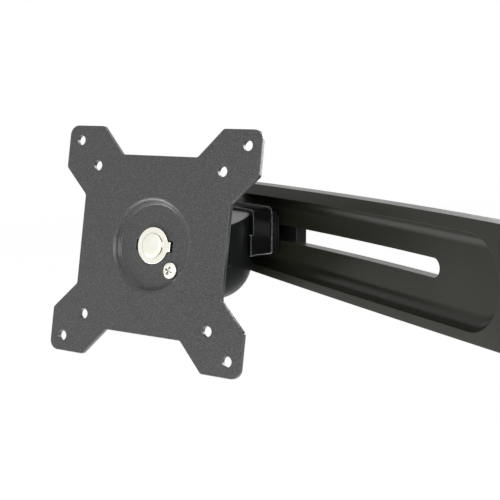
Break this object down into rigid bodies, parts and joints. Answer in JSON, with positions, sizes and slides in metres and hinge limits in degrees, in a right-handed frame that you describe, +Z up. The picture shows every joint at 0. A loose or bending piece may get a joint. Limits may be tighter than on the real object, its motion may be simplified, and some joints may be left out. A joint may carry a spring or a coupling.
{
  "type": "monitor arm",
  "caption": "Curved slotted monitor arm with a sliding carriage, swivel and tilt joints and a turning screen plate, held by a flat foot.",
  "frame": {"origin": "middle of the foot's flat back face, where the arm is fastened to a wall, post bracket or rail", "axes": "+Z up, +Y out of the foot's back face towards the support, +X along the foot away from the tip of the beam"},
  "size_m": [0.3868, 0.1715, 0.1137],
  "materials": {
    "beam_paint": "fine satin charcoal paint on a casting",
    "satin_paint": "satin black",
    "gloss_paint": "semi-gloss black with worn bright edges",
    "plate_powder": "fine speckled charcoal powder coat",
    "cap_plastic": "satin mid grey",
    "zinc_plate": "bright zinc plate",
    "nickel": "bright nickel plate",
    "slide_plastic": "natural slide plastic",
    "knob_plastic": "fine grained black",
    "brass": "machined",
    "friction_fibre": "matt fibre"
  },
  "bodies": {
    "arm": {"arm_beam": "beam_paint", "foot_bracket": "satin_paint", "foot_screw_1": "zinc_plate", "foot_screw_2": "zinc_plate", "foot_screw_3": "zinc_plate", "foot_screw_4": "zinc_plate"},
    "carriage": {"slider_block": "satin_paint", "front_slide_liner": "slide_plastic", "rear_slide_liner": "slide_plastic", "rear_clamp_plate": "satin_paint", "carriage_stud": "zinc_plate", "saddle_bracket": "gloss_paint", "saddle_screw_1": "zinc_plate", "saddle_screw_2": "zinc_plate", "saddle_screw_3": "zinc_plate", "saddle_screw_4": "zinc_plate", "upper_swivel_bush": "slide_plastic", "lower_swivel_bush": "slide_plastic", "knob_washer": "zinc_plate"},
    "knob": {"clamp_knob": "knob_plastic", "knob_insert": "brass"},
    "head": {"swivel_housing": "satin_paint", "housing_cap": "cap_plastic", "swivel_bolt": "zinc_plate", "swivel_nut": "zinc_plate", "tilt_bolt": "zinc_plate", "tilt_nut": "zinc_plate", "left_tilt_washer": "zinc_plate", "right_tilt_washer": "zinc_plate", "left_friction_disc": "slide_plastic", "right_friction_disc": "slide_plastic"},
    "hub": {"tilt_hub": "satin_paint", "friction_washer": "friction_fibre", "disc_spring": "zinc_plate", "pivot_screw": "nickel"},
    "plate": {"screen_plate": "plate_powder", "keyed_washer": "nickel", "stop_screw": "nickel"}
  },
  "joints": [
    {"name": "carriage_travel", "type": "hinge", "parent": "arm", "child": "carriage", "pos_m": [0, -1.098, 0], "axis": [0, 0, 1], "range_deg": [-7.8, 1.7]},
    {"name": "clamp_knob_turn", "type": "hinge", "parent": "carriage", "child": "knob", "pos_m": [-0.26065, -0.02521, 0], "axis": [-0.2361, 0.9717, 0], "continuous": true},
    {"name": "head_swivel", "type": "hinge", "parent": "carriage", "child": "head", "pos_m": [-0.24612, -0.08502, 0], "axis": [0, 0, 1], "range_deg": [-79.4, 30.6]},
    {"name": "head_tilt", "type": "hinge", "parent": "head", "child": "hub", "pos_m": [-0.22676, -0.10974, -0.0046], "axis": [0.7874, 0.6164, 0], "range_deg": [-9.3, 30.7]},
    {"name": "plate_turn", "type": "hinge", "parent": "hub", "child": "plate", "pos_m": [-0.21222, -0.12831, -0.00014], "axis": [0.6057, -0.7737, 0.1857], "range_deg": [-90, 90]}
  ]
}
